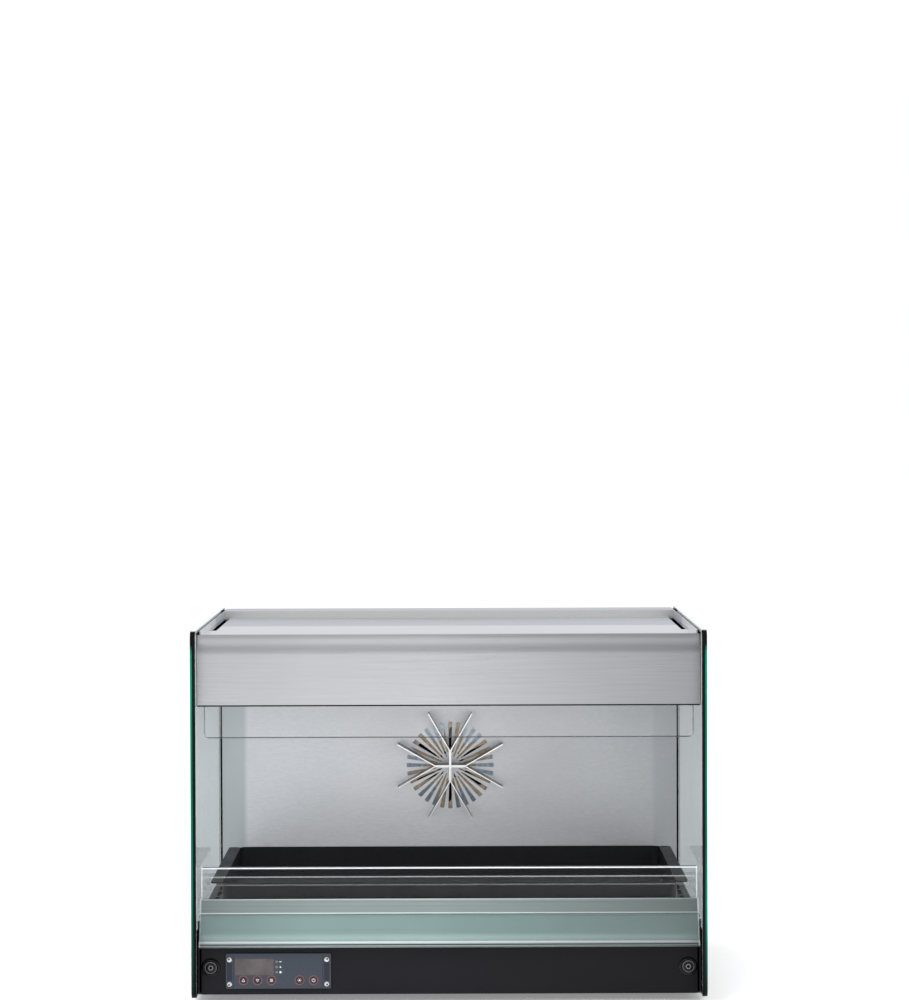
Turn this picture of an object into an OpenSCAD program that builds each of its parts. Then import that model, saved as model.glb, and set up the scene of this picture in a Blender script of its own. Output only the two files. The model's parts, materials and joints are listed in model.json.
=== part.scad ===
// Countertop hot food display case: glass sides, open front, hot-air cavity.
// Frame: origin at the centre of the underside, +X to the viewer's right, +Y to the rear, +Z up.
// Depths ("d") are measured back from the front edge of the side glass.

/* [Case] */
// Overall width, outside the side glass
case_w = 600; // [580:10:720]
// Overall depth, from the glass's front edge to the rear screws
case_d = 566; // [560:2:620]
// Overall height, from the feet to the top of the glass
case_h = 436; // [430:2:470]
// Thickness of each glass side panel
glass_t = 6; // [5:1:8]
// Corner radius of the glass side panels
glass_r = 10; // [6:1:16]
// Sheet thickness of the stainless panels
sheet_t = 1.2; // [1:0.1:1.6]
// Sheet thickness of the base
base_t = 1.5; // [1.2:0.1:2]

/* [Base] */
// Height of the feet
foot_h = 9.2; // [8:0.2:14]
// Radius of a foot
foot_r = 19; // [15:1:24]
// Height of the deck that the food tray stands on
deck_z = 99; // [99:1:104]
// Depth of the front face of the base
fascia_d = 27; // [27:1:30]

/* [Hood] */
// Depth of the front face of the hood
hood_d = 24; // [22:1:26]
// Height of the hood's flat face and roll together
hood_h = 81.4; // [80:0.1:90]
// Radius of the roll along the hood's top edge
roll_r = 29; // [24:1:32]
// Angle that the roll turns through
roll_angle = 50; // [40:5:60]
// Height of the clear valance that hangs below the hood
valance_drop = 39.9; // [30:0.1:50]

/* [Fan] */
// Sideways place of the fan's axis
fan_x = 1; // [-5:1:5]
// Height of the fan's axis
fan_z = 237.5; // [230:0.5:245]
// Number of air slots around the fan
slot_count = 32; // [24:2:36]
// Outer radius of the air slots
slot_r = 55.9; // [50:0.1:60]
// Radius that the guard's tips reach
guard_r = 72.5; // [68:0.5:76]
// How far the guard stands out from the back wall
guard_out = 34; // [28:1:38]
// Height of the guard's centre above the fan's axis
guard_lift = 1.5; // [0:0.5:3]
// Number of impeller arms, each with a blade
blade_count = 6; // [5:1:8]

/* [Controls] */
// Width of the control panel plate
panel_w = 122.8; // [120:0.2:126]
// Height of the control panel plate
panel_h = 41.1; // [40:0.1:43]
// Travel of the push buttons
button_travel = 0.5; // [0.3:0.1:0.5]

/* [Food tray] */
// Outer width of the tray's walls
tray_w = 538; // [500:2:540]
// Depth of the tray from its front wall to its back wall
tray_len = 360; // [340:2:362]
// Height of the tray's rim above the deck
tray_h = 36; // [30:1:40]

/* [Hidden] */
$fn = 48;

front_y = -case_d / 2;
half_w = case_w / 2;
inner_x = half_w - glass_t;          // inner face of the side glass
sides = [-1, 1];

// Levels
hood_top = case_h - 6.4;
hood_bottom = hood_top - hood_h;
hood_roll_z = hood_top - roll_r * sin(roll_angle);
roll_back = roll_r * (1 - cos(roll_angle));
valance_z = hood_bottom - valance_drop;
top_rim = case_h - 2.5;
top_floor = case_h - 12;
ceiling_z = case_h - 87;
duct_roof = ceiling_z + 45;
base_top = deck_z - base_t;
tray_rim = deck_z + tray_h;

// Depths of the walls, front to back
valance_d = hood_d + 15;
stud_x = 257;
stud_z = hood_bottom + 3;
duct_front = hood_d + 24;
wall_d = case_d - 119;               // face of the cavity's back wall
rear_duct_d = wall_d + 57;
motor_plate_d = rear_duct_d + 15.5;
base_rear = case_d - 16;
cover_d = case_d - 3.2;              // inner face of the rear cover
top_rear = cover_d - 0.2;

// Half-widths
fascia_x = inner_x - 4;
pan_x = inner_x - 6;
hood_x = inner_x - 0.5;
duct_x = inner_x - 4;

// Base and its fasteners
fascia_screw_x = fascia_x - 11;
fascia_screw_z = 41;
cup_r = 10.75;
cup_h = 3;
screw_head_r = 7.2;
foot_x = 240;
foot_depths = [130, 480];
channel_top = 85;

// Ticket rail: a front plane that leans back from its lower edge to its upper edge
rail_foot = [13, 68.5];
rail_head = [40, 119.3];
rail_len = norm(rail_head - rail_foot);
rail_dir = (rail_head - rail_foot) / rail_len;
rail_out = [-rail_dir.y, rail_dir.x];
rail_t = 4;
cover_t = 1.2;
label_gap = 1;
cover_top = 39;
lip_top = 4.6;
lip_t = 1.4;
rail_x = inner_x - 2;
rail_pin_z = 91.8;

// Riser and its channel
riser_t = 4;
riser_d = 44.8;
riser_play = 0.3;
riser_floor = deck_z + 3;
riser_bend = 145;
riser_top = 156.2;
riser_lean = 3.3;
riser_x = inner_x - 3;
channel_wall = 3;
channel_z = deck_z + 13;

// Food tray
tray_d = 70;
tray_t = 1.5;
tray_x = tray_w / 2;
tray_lip = 13;
tray_rib = 2.5;

// Controls
panel_x0 = -261.4;
panel_z0 = 16.3;
panel_t = 2.4;
panel_d = fascia_d - 0.1 - panel_t;
panel_end = 8.4;
panel_screw_x = [panel_x0 + 4.2, panel_x0 + panel_w - 4.9];
panel_screw_z = [21.7, 50.4];
cutout_x = [panel_x0 + 7.9, panel_x0 + panel_w - 8.6];
cutout_z = [18.5, 55.3];
window_x = [-250.7, -205.4];
window_z = [32.4, 51.4];
led_x = -202;
led_heights = [35.6, 41.7, 47.8];
button_z = 26.1;
button_x = [-240.9, -224.5, -208.2, -175.3, -158.9];
button_r = 4.1;
ring_r = 5.65;
ring_in = 4.7;
board_d = panel_d + 8.5;

// Fan and heater
shaft_r = 3;
shaft_play = 0.05;
impeller_r = 58;
impeller_d = wall_d + 10;
impeller_t = 25;
impeller_hub = 33;
arm_half = 12;
element_r = 84;
element_tube = 4.2;
element_d = wall_d + 23;
element_gap = 10;
leg_x = 15;
motor_w = 32;
motor_h = 28;
rotor_r = 15.8;
motor_screw_x = 58;
motor_screw_z = 48;
probe_at = [120, 300];
stat_at = [-118, 300];

// Mains inlet
inlet_x = 200;
inlet_z = 50;

// Shape helpers ---------------------------------------------------------------

function arc(c, r, a0, a1, n = 8) =
    [for (i = [0:n]) let (a = a0 + (a1 - a0) * i / n) c + r * [cos(a), sin(a)]];

// Outline of a rectangle with four round corners
function round_box(x, y, r) = concat(
    arc([x[1] - r, y[0] + r], r, -90, 0),
    arc([x[1] - r, y[1] - r], r, 0, 90),
    arc([x[0] + r, y[1] - r], r, 90, 180),
    arc([x[0] + r, y[0] + r], r, 180, 270));

function unit(v) = v / norm(v);
function left_of(v) = [-v.y, v.x];

// Direction that moves vertex i of a path sideways by one unit of thickness
function mitre(p, i) =
    let (a = unit(i > 0 ? p[i] - p[i - 1] : p[1] - p[0]),
         b = unit(i < len(p) - 1 ? p[i + 1] - p[i] : p[i] - p[i - 1]))
    (left_of(a) + left_of(b)) / (1 + a * b);

// Outline of a bent sheet: the path offset to t0 and t1 on its left
function ribbon(p, t0, t1) = concat(
    [for (i = [0:len(p) - 1]) p[i] + t0 * mitre(p, i)],
    [for (i = [len(p) - 1:-1:0]) p[i] + t1 * mitre(p, i)]);

// Point on the ticket rail: along the slope from its lower edge, and out from its front plane
function on_rail(along, out) = rail_foot + along * rail_dir + out * rail_out;

module block(x, d, z)
    translate([x[0], front_y + d[0], z[0]])
        cube([x[1] - x[0], d[1] - d[0], z[1] - z[0]]);

// A block and its mirror image on the other side
module pair(x, d, z)
    for (s = sides) block(s > 0 ? x : [-x[1], -x[0]], d, z);

// Extrudes a (depth, height) outline across the width
module across(x)
    translate([x[0], front_y, 0]) rotate([90, 0, 90]) linear_extrude(x[1] - x[0]) children();

// Extrudes an (x, height) outline from front to back
module deep(d)
    translate([0, front_y + d[1], 0]) rotate([90, 0, 0]) linear_extrude(d[1] - d[0]) children();

// Extrudes an (x, depth) outline upwards
module up(z)
    translate([0, front_y, z[0]]) linear_extrude(z[1] - z[0]) children();

module rod(x, z, d, r)
    translate([x, front_y + d[0], z]) rotate([-90, 0, 0]) cylinder(h = d[1] - d[0], r = r);

// Turns an outline of (radius, depth) about a front-to-back axis
module turned(x, z, d)
    translate([x, front_y + d, z]) rotate([-90, 0, 0]) rotate_extrude() children();

// Round-ended slot outline
module slot(x, y, w, l) {
    r = w / 2;
    polygon(concat(arc([x + l / 2 - r, y], r, -90, 90, 4), arc([x - l / 2 + r, y], r, 90, 270, 4)));
}

// Base ------------------------------------------------------------------------

module at_feet()
    for (s = sides, d = foot_depths) translate([s * foot_x, front_y + d, 0]) children();

module feet() color([0.08, 0.08, 0.08])
    at_feet() difference() {
        cylinder(h = foot_h, r = foot_r);
        translate([0, 0, -1]) cylinder(h = 6, r = 7);
        cylinder(h = foot_h + 1, r = 2.2);
    }

module foot_screws() color([0.7, 0.7, 0.7])
    at_feet() {
        translate([0, 0, 2]) cylinder(h = 3, r = 5);
        translate([0, 0, 5]) cylinder(h = 11, r = 2.1);
    }

module base_pan() color([0.16, 0.16, 0.18]) {
    vents = [for (i = [0:8]) i * 22];
    difference() {
        union() {
            block([-pan_x, pan_x], [fascia_d + 1.6, base_rear], [foot_h, foot_h + base_t]);
            pair([pan_x - base_t, pan_x], [fascia_d + 1.6, base_rear], [foot_h, base_top - 0.1]);
            pair([pan_x - 26, pan_x], [fascia_d + 1.6, fascia_d + 3.1], [foot_h, channel_top]);
            block([-pan_x, pan_x], [base_rear - base_t, base_rear], [foot_h, base_top - 0.1]);
        }
        slope = [for (a = [0, rail_len]) on_rail(a, -rail_t - base_t - 0.2)];
        across([-half_w, half_w])
            polygon([slope[0], slope[1], [0, slope[1].y], [0, slope[0].y]]);
        at_feet() cylinder(h = 20, r = 2.2);
        for (s = sides)
            rod(s * fascia_screw_x, fascia_screw_z, [fascia_d, fascia_d + 5], 4.1);
        block([inlet_x - 15.2, inlet_x + 15.2], [base_rear - 5, base_rear + 1],
            [inlet_z - 11.2, inlet_z + 11.2]);
        for (s = sides)
            rod(inlet_x + s * 20, inlet_z, [base_rear - 5, base_rear + 1], 1.7);
        deep([base_rear - 5, base_rear + 1])
            for (v = vents) slot(-230 + v, 55, 5, 15);
        up([foot_h - 1, foot_h + base_t + 1])
            for (v = vents, d = [200, 260]) slot(-88 + v, d, 6, 14);
    }
}

// The face and, above it, the slope that carries the ticket rail, folded from one sheet
module base_fascia() color([0.13, 0.13, 0.15])
    difference() {
        slope_foot = on_rail(0, -rail_t - 0.05);
        rise = (fascia_d - slope_foot.x) / rail_dir.x;
        fold = slope_foot + rise * rail_dir;
        head = slope_foot + (rail_len - 9) * rail_dir;
        across([-fascia_x, fascia_x])
            polygon(ribbon([[fascia_d, foot_h], fold, head], -base_t, 0));
        block(cutout_x, [fascia_d - 1, fascia_d + 3], cutout_z);
        for (s = sides)
            rod(s * fascia_screw_x, fascia_screw_z, [fascia_d - 1, fascia_d + 3], 4.1);
        for (x = panel_screw_x, z = panel_screw_z)
            rod(x, z, [fascia_d - 1, fascia_d + 3], 1.5);
    }

module fascia_cup_washers() color([0.06, 0.06, 0.07])
    for (s = sides) turned(s * fascia_screw_x, fascia_screw_z, fascia_d - cup_h)
        polygon([[4.1, cup_h], [4.1, 1.6], [7.4, 1.2], [8.2, 0], [9, 0], [cup_r, 1.6], [cup_r, cup_h]]);

module fascia_screws() color([0.1, 0.1, 0.11])
    for (s = sides) difference() {
        union() {
            turned(s * fascia_screw_x, fascia_screw_z, fascia_d - cup_h - 1.8)
                polygon(concat([[0, 3], [0, 0]], [for (i = [2:6]) let (a = i * 15)
                    [screw_head_r * sin(a), 2.9 * (1 - cos(a))]], [[screw_head_r, 3]]));
            rod(s * fascia_screw_x, fascia_screw_z, [fascia_d - 1.8, fascia_d + 16], 4);
        }
        translate([s * fascia_screw_x, front_y + fascia_d - cup_h + 0.9, fascia_screw_z])
            rotate([90, 0, 0]) cylinder(h = 5, r = 2.9, $fn = 6);
    }

module deck_plate() color([0.1, 0.1, 0.11])
    difference() {
        block([1 - inner_x, inner_x - 1], [36, wall_d - 0.2], [base_top, deck_z]);
        up([base_top - 1, deck_z + 1])
            for (s = sides, i = [0:6]) translate([s * (inner_x - 11), 90 + i * 52])
                rotate(90) slot(0, 0, 5, 40);
    }

module glass_side(x) color([0.75, 0.85, 0.84, 0.35])
    across(x) polygon(round_box([0, case_d - 10], [foot_h - 1.2, case_h], glass_r));

module glass_left() glass_side([-half_w, -inner_x]);
module glass_right() glass_side([inner_x, half_w]);

// Channels that stand between the base and the glass and hold the glass
module glass_channels() color([0.05, 0.05, 0.06]) {
    d = [fascia_d + 1.6, base_rear];
    x = [pan_x + 0.1, inner_x - 0.1];
    pair([x[1] - base_t, x[1]], d, [foot_h, channel_top]);
    pair([x[0], x[1]], d, [channel_top - base_t, channel_top]);
    pair([x[0], x[1]], d, [foot_h, foot_h + base_t]);
}

// Hood and top ----------------------------------------------------------------

module hood_front() color([0.72, 0.73, 0.73])
    across([-hood_x, hood_x]) {
        centre = [hood_d + roll_r, hood_roll_z];
        edge = hood_d + roll_back;
        polygon(ribbon(concat(
            [[valance_d - 0.5, hood_bottom], [hood_d, hood_bottom]],
            arc(centre, roll_r, 180, 180 - roll_angle, 12),
            [[edge + 13, hood_top]]), -sheet_t, 0));
    }

module hood_seal() color([0.05, 0.05, 0.05])
    block([-hood_x, hood_x], [hood_d, hood_d + 12], [hood_bottom - 1.7, hood_bottom]);

// Recessed stainless top with upstands and a flat rear flange
module top_tray() color([0.76, 0.77, 0.78]) {
    x = inner_x - 2;
    d = [hood_d + 23.6, wall_d + 49];
    difference() {
        union() {
            block([-x, x], d, [top_floor - sheet_t, top_floor]);
            pair([x - sheet_t, x], d, [top_floor - sheet_t, top_rim]);
            block([-x, x], [d[0], d[0] + sheet_t], [top_floor - sheet_t, hood_top - 1.5]);
            block([-x, x], [d[1] - sheet_t, d[1]], [top_floor - sheet_t, top_rim]);
            block([-x, x], [d[1] - sheet_t, top_rear], [top_rim - sheet_t, top_rim]);
            block([-x, x], [top_rear - sheet_t, top_rear], [top_floor - 4, top_rim]);
        }
        pair([x - 8, x - 2], [wall_d - 225, wall_d + 46], [top_floor - 3, top_floor + 1]);
    }
}

// Strips between the top and the glass, with a tongue that lies on the hood's lip
module top_gaskets() color([0.05, 0.05, 0.05]) {
    x = [inner_x - 1.9, inner_x - 0.1];
    pair(x, [hood_d + 23.6, case_d - 12], [top_floor + 0.5, top_rim - 1]);
    pair(x, [hood_d + 12, hood_d + 24], [hood_top + 0.1, top_rim - 1]);
}

// Cavity ceiling with its outlet slots
module ceiling_liner() color([0.72, 0.73, 0.74])
    difference() {
        block([1.2 - inner_x, inner_x - 1.2], [duct_front, wall_d + sheet_t],
            [ceiling_z, ceiling_z + sheet_t]);
        up([ceiling_z - 1, ceiling_z + 3])
            for (i = [-12:12], d = [88, 98]) slot(i * 21, d, 4, 16);
    }

module ceiling_duct() color([0.66, 0.67, 0.68]) {
    z0 = ceiling_z + sheet_t + 0.1;
    block([-duct_x, duct_x], [duct_front, rear_duct_d + sheet_t], [duct_roof, duct_roof + sheet_t]);
    block([-duct_x, duct_x], [duct_front, duct_front + sheet_t], [z0, duct_roof + sheet_t]);
    pair([duct_x - sheet_t, duct_x], [duct_front, wall_d + sheet_t], [z0, duct_roof + sheet_t]);
}

module insulation_top() color([0.85, 0.8, 0.6])
    block([8 - inner_x, inner_x - 8], [duct_front + 3, rear_duct_d - 6],
        [duct_roof + sheet_t + 0.3, top_floor - 4.5]);

module led_housing() color([0.8, 0.8, 0.8])
    difference() {
        block([-270, 270], [duct_front + 5, duct_front + 25], [ceiling_z - 4.2, ceiling_z - 0.1]);
        block([-268, 268], [duct_front + 7, duct_front + 23], [ceiling_z - 5, ceiling_z - 1.5]);
    }

module led_lens() color([0.95, 0.95, 0.9])
    block([-267.8, 267.8], [duct_front + 7.2, duct_front + 22.8], [ceiling_z - 4.4, ceiling_z - 2.8]);

module valance() color([0.8, 0.88, 0.88, 0.3])
    difference() {
        x = inner_x - 7.2;
        r = 6.4;
        top = ceiling_z + 23;
        deep([valance_d, valance_d + 4])
            polygon(concat(arc([x - r, valance_z + r], r, -90, 0), [[x, top], [-x, top]],
                arc([r - x, valance_z + r], r, 180, 270)));
        for (i = [-1:1])
            rod(i * stud_x, stud_z, [valance_d - 1, valance_d + 5], 2.6);
    }

module valance_studs() color([0.75, 0.75, 0.76])
    for (i = [-1:1]) {
        rod(i * stud_x, stud_z, [valance_d - 0.5, valance_d], 6);
        rod(i * stud_x, stud_z, [valance_d, duct_front], 2.5);
        rod(i * stud_x, stud_z, [valance_d + 4, duct_front], 6);
    }

// Back wall and hot-air system --------------------------------------------------

// Outline of one tapered air slot that points away from the fan's axis
module air_slot(inner_r) {
    w = 2.8;
    r = 1.1;
    polygon(concat([[inner_r, -0.8]], arc([slot_r - r, r - w], r, -85, 0, 4),
        arc([slot_r - r, w - r], r, 0, 85, 4), [[inner_r, 0.8]]));
}

module back_panel() color([0.74, 0.75, 0.76])
    difference() {
        block([1.2 - inner_x, inner_x - 1.2], [wall_d, wall_d + sheet_t], [deck_z, ceiling_z]);
        deep([wall_d - 1, wall_d + 3]) translate([fan_x, fan_z])
            for (i = [0:slot_count - 1]) rotate(i * 360 / slot_count)
                air_slot(i % 2 == 0 ? 11.5 : 17);
    }

module back_panel_gaskets() color([0.06, 0.06, 0.06])
    pair([inner_x - 1.1, inner_x - 0.1], [wall_d - 1, wall_d + sheet_t], [deck_z + 0.1, ceiling_z - 0.1]);

// Four bent strips, back to back along the cross, with arms that fan out to eight tips
module fan_guard() color([0.85, 0.85, 0.86])
    deep([wall_d - guard_out, wall_d]) translate([fan_x, fan_z + guard_lift]) {
        strip_t = 1.2;
        stem = 20;
        off = strip_t / 2 + 0.1;
        tip = 22.5;
        for (q = [0:3]) rotate(q * 90)
            polygon(ribbon([
                guard_r * [cos(tip), sin(tip)],
                [stem, off], [off, off], [off, stem],
                guard_r * [sin(tip), cos(tip)]], -strip_t / 2, strip_t / 2));
    }

// Star-shaped disc with a blade bent back along one side of each arm, beside a window
module fan_impeller() color([0.7, 0.7, 0.72]) {
    back = impeller_d + impeller_t;
    difference() {
        union() {
            deep([impeller_d, impeller_d + sheet_t]) translate([fan_x, fan_z]) {
                circle(r = impeller_hub);
                at_arms() polygon(concat([[10, -arm_half]],
                    arc([impeller_r - 4, 4 - arm_half], 4, -90, 0, 4),
                    arc([impeller_r - 4, arm_half - 4], 4, 0, 90, 4), [[10, arm_half]]));
            }
            deep([impeller_d + sheet_t / 2, back]) translate([fan_x, fan_z])
                at_arms() translate([30, arm_half - sheet_t])
                    square([impeller_r - 36, sheet_t]);
            rod(fan_x, fan_z, [impeller_d, impeller_d + 18], 8);
        }
        rod(fan_x, fan_z, [impeller_d - 1, back], shaft_r);
        deep([impeller_d - 1, impeller_d + 3]) translate([fan_x, fan_z]) at_arms() {
            translate([34, 3]) slot(0, 0, 6, 28);
            translate([15.5, 0]) circle(r = 2.6);
            rotate(30) translate([15.5, 0]) circle(r = 2.6);
        }
    }
}

module at_arms()
    for (i = [0:blade_count - 1]) rotate(24 + i * 360 / blade_count) children();

module fan_shaft() color([0.6, 0.6, 0.62]) {
    rod(fan_x, fan_z, [impeller_d - 6, case_d - 9], shaft_r);
    rod(fan_x, fan_z, [motor_plate_d + 9, motor_plate_d + 29], rotor_r);
}

module fan_nut() color([0.75, 0.7, 0.5])
    difference() {
        translate([fan_x, front_y + impeller_d, fan_z])
            rotate([90, 0, 0]) cylinder(h = 5, r = 5.8, $fn = 6);
        rod(fan_x, fan_z, [impeller_d - 6, impeller_d + 1], shaft_r);
    }

// Shaded-pole motor: stack, coil, two bearing bridges and four posts
module fan_motor() color([0.35, 0.35, 0.38]) {
    d = motor_plate_d + 1.5;
    x = [fan_x - motor_w, fan_x + motor_w];
    difference() {
        block(x, [d + 8, d + 27], [fan_z - motor_h, fan_z + motor_h]);
        rod(fan_x, fan_z, [d + 7, d + 28], rotor_r + 0.5);
    }
    block([fan_x - 22, fan_x + 22], [d + 4, d + 31], [fan_z - motor_h - 15, fan_z - motor_h]);
    for (at = [d + 1, d + 31]) difference() {
        block(x, [at, at + 2], [fan_z - 8, fan_z + 8]);
        rod(fan_x, fan_z, [at - 1, at + 3], shaft_r + shaft_play);
    }
    for (s = sides)
        rod(fan_x + s * 25, fan_z, [d, d + 33], 3.5);
}

module motor_plate() color([0.6, 0.6, 0.62])
    difference() {
        block([fan_x - 70, fan_x + 70], [motor_plate_d, motor_plate_d + 1.5], [fan_z - 60, fan_z + 60]);
        rod(fan_x, fan_z, [motor_plate_d - 1, motor_plate_d + 3], 9);
        at_motor_screws([motor_plate_d - 1, motor_plate_d + 3], 2.2);
    }

module at_motor_screws(d, r)
    for (sx = sides, sz = sides) rod(fan_x + sx * motor_screw_x, fan_z + sz * motor_screw_z, d, r);

module motor_screws() color([0.75, 0.75, 0.76]) {
    at_motor_screws([motor_plate_d + 1.5, motor_plate_d + 4], 4);
    at_motor_screws([rear_duct_d - 4, motor_plate_d + 1.5], 2);
}

module heating_element() color([0.3, 0.28, 0.27]) {
    translate([fan_x, front_y + element_d, fan_z]) rotate([-90, 0, 0])
        rotate([0, 0, 90 + element_gap]) rotate_extrude(angle = 360 - 2 * element_gap)
            translate([element_r, 0]) circle(r = element_tube);
    for (s = sides)
        rod(fan_x + s * leg_x, fan_z - element_r * cos(element_gap),
            [element_d - element_tube - 0.5, rear_duct_d + 24], element_tube + 0.4);
}

// Box behind the back wall, open at the top into the ceiling duct
module rear_duct() color([0.66, 0.67, 0.68])
    difference() {
        union() {
            block([-duct_x, duct_x], [rear_duct_d, rear_duct_d + sheet_t], [deck_z, duct_roof - 0.1]);
            pair([duct_x - sheet_t, duct_x], [wall_d + 1.4, rear_duct_d + sheet_t],
                [deck_z, duct_roof - 0.1]);
            block([-duct_x, duct_x], [wall_d + 1.4, rear_duct_d + sheet_t], [deck_z, deck_z + sheet_t]);
        }
        rear_holes([rear_duct_d - 1, rear_duct_d + 3], 0.1);
        at_motor_screws([rear_duct_d - 1, rear_duct_d + 3], 2);
    }

// Openings for the shaft, the element's legs and the sensors
module rear_holes(d, play) {
    rod(fan_x, fan_z, d, 8 + play);
    for (s = sides)
        rod(fan_x + s * leg_x, fan_z - element_r * cos(element_gap), d, element_tube + 0.4 + play);
    rod(probe_at.x, probe_at.y, d, 2.5 + play);
}

module insulation_rear() color([0.85, 0.8, 0.6])
    difference() {
        d = [rear_duct_d + 1.6, motor_plate_d - 0.5];
        block([8 - inner_x, inner_x - 8], d, [deck_z + 1, duct_roof - 2]);
        rear_holes([d[0] - 1, d[1] + 1], 1.5);
        at_motor_screws([d[0] - 1, d[1] + 1], 3.5);
        rod(stat_at.x, stat_at.y, [d[0] - 1, d[1] + 1], 14);
    }

module rear_posts() color([0.5, 0.5, 0.52]) {
    x = [inner_x - 16, inner_x - 3.5];
    d = [motor_plate_d + 2, cover_d - 0.2];
    z = [base_top, top_floor - 6];
    pair([x[1] - base_t, x[1]], d, z);
    pair(x, [d[0], d[0] + base_t], z);
    difference() {
        pair(x, [d[1] - base_t, d[1]], z);
        at_cover_screws([d[1] - base_t - 1, d[1] + 1], 2.1);
    }
}

module rear_cover() color([0.7, 0.71, 0.72])
    difference() {
        x = half_w - 1;
        z = [deck_z + 2, top_rim - 2];
        union() {
            block([-x, x], [cover_d, cover_d + sheet_t], z);
            pair([x - sheet_t, x], [case_d - 9, cover_d + sheet_t], z);
            block([16.5 - inner_x, inner_x - 16.5], [base_rear + 2, cover_d + sheet_t],
                [z[0], z[0] + sheet_t]);
        }
        deep([cover_d - 1, cover_d + 3])
            for (i = [-4:4], h = [150, 166, 182, 320, 336, 352]) slot(i * 30, h, 5, 24);
        at_cover_screws([cover_d - 1, cover_d + 3], 2.2);
    }

module at_cover_screws(d, r)
    for (s = sides, h = [125, 215, 305, 395]) rod(s * (inner_x - 10), h, d, r);

module rear_cover_screws() color([0.75, 0.75, 0.76]) {
    at_cover_screws([cover_d + sheet_t, case_d], 4);
    at_cover_screws([cover_d - 8, cover_d + sheet_t], 2);
}

module temperature_probe() color([0.8, 0.8, 0.8])
    rod(probe_at.x, probe_at.y, [wall_d + 14, rear_duct_d + 26], 2.5);

module safety_thermostat() color([0.75, 0.7, 0.6]) {
    rod(stat_at.x, stat_at.y, [rear_duct_d + sheet_t, rear_duct_d + 9], 12);
    for (s = sides)
        block([stat_at.x + s * 6 - 3, stat_at.x + s * 6 + 3], [rear_duct_d + 8.5, rear_duct_d + 18],
            [stat_at.y - 0.4, stat_at.y + 0.4]);
}

// Mains parts -------------------------------------------------------------------

module mains_inlet() color([0.05, 0.05, 0.05])
    difference() {
        union() {
            deep([base_rear, base_rear + 3])
                polygon(round_box([inlet_x - 25, inlet_x + 25], [inlet_z - 12, inlet_z + 12], 5));
            block([inlet_x - 15, inlet_x + 15], [base_rear - 20, base_rear + 1],
                [inlet_z - 11, inlet_z + 11]);
        }
        deep([base_rear - 16, base_rear + 4]) polygon([
            [inlet_x - 12.3, inlet_z - 8.5], [inlet_x + 12.3, inlet_z - 8.5],
            [inlet_x + 12.3, inlet_z + 4], [inlet_x + 8.5, inlet_z + 8.5],
            [inlet_x - 8.5, inlet_z + 8.5], [inlet_x - 12.3, inlet_z + 4]]);
        for (s = sides)
            rod(inlet_x + s * 20, inlet_z, [base_rear - 1, base_rear + 4], 1.7);
        pin_blocks([base_rear - 21, base_rear - 15]);
    }

module pin_blocks(d)
    for (p = [[-7, -2.5], [0, 1.5], [7, -2.5]])
        block([inlet_x + p.x - 1, inlet_x + p.x + 1], d,
            [inlet_z + p.y - 2, inlet_z + p.y + 2]);

module inlet_pins() color([0.8, 0.7, 0.4]) pin_blocks([base_rear - 26, base_rear - 3]);

module terminal_block() color([0.85, 0.85, 0.82])
    difference() {
        z = foot_h + base_t;
        block([100, 160], [470, 492], [z, z + 18]);
        for (i = [0:4])
            translate([109 + i * 10.5, front_y + 481, z + 8]) cylinder(h = 12, r = 2.6);
    }

// Controls ------------------------------------------------------------------------

module controller_body() color([0.2, 0.2, 0.21])
    difference() {
        x = [cutout_x[0] + 0.3, cutout_x[1] - 0.3];
        z = [cutout_z[0] + 0.3, cutout_z[1] - 0.3];
        wall = 1.5;
        block(x, [fascia_d, fascia_d + 66], z);
        block([x[0] + wall, x[1] - wall], [fascia_d - 1, fascia_d + 64.5], [z[0] + wall, z[1] - wall]);
    }

// Circuit board with the display and a key switch behind each button
module controller_board() color([0.1, 0.3, 0.2]) {
    block([cutout_x[0] + 2, cutout_x[1] - 2], [board_d, board_d + 1.6], [cutout_z[0] + 2, cutout_z[1] - 2]);
    block([window_x[0] + 1, window_x[1] - 1], [panel_d + 3, board_d], [window_z[0] + 1, window_z[1] - 1]);
    for (x = button_x)
        block([x - 3, x + 3], [board_d - 3, board_d], [button_z - 3, button_z + 3]);
}

module panel_plate() color([0.24, 0.27, 0.31])
    difference() {
        deep([panel_d, panel_d + panel_t])
            polygon(round_box([panel_x0, panel_x0 + panel_w], [panel_z0, panel_z0 + panel_h], 1.5));
        block(window_x, [panel_d - 1, panel_d + 4], window_z);
        for (x = button_x) {
            rod(x, button_z, [panel_d - 1, panel_d + 4], button_r + 0.1);
            difference() {
                rod(x, button_z, [panel_d - 1, panel_d + 0.4], ring_r);
                rod(x, button_z, [panel_d - 2, panel_d + 1], ring_in);
            }
        }
        for (z = led_heights) rod(led_x, z, [panel_d - 1, panel_d + 4], 1.5);
        for (x = panel_screw_x, z = panel_screw_z) rod(x, z, [panel_d - 1, panel_d + 4], 1.6);
    }

module panel_screws() color([0.85, 0.85, 0.86])
    for (x = panel_screw_x, z = panel_screw_z) difference() {
        union() {
            turned(x, z, panel_d - 1.6)
                polygon([[0, 1.6], [0, 0], [1.8, 0.15], [2.8, 0.6], [3.2, 1.2], [3.2, 1.6]]);
            rod(x, z, [panel_d, panel_d + 9], 1.5);
        }
        block([x - 1.7, x + 1.7], [panel_d - 2, panel_d - 0.8], [z - 0.3, z + 0.3]);
        block([x - 0.3, x + 0.3], [panel_d - 2, panel_d - 0.8], [z - 1.7, z + 1.7]);
    }

module display_window() color([0.08, 0.09, 0.12])
    block(window_x, [panel_d - 0.1, panel_d + panel_t], window_z);

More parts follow.
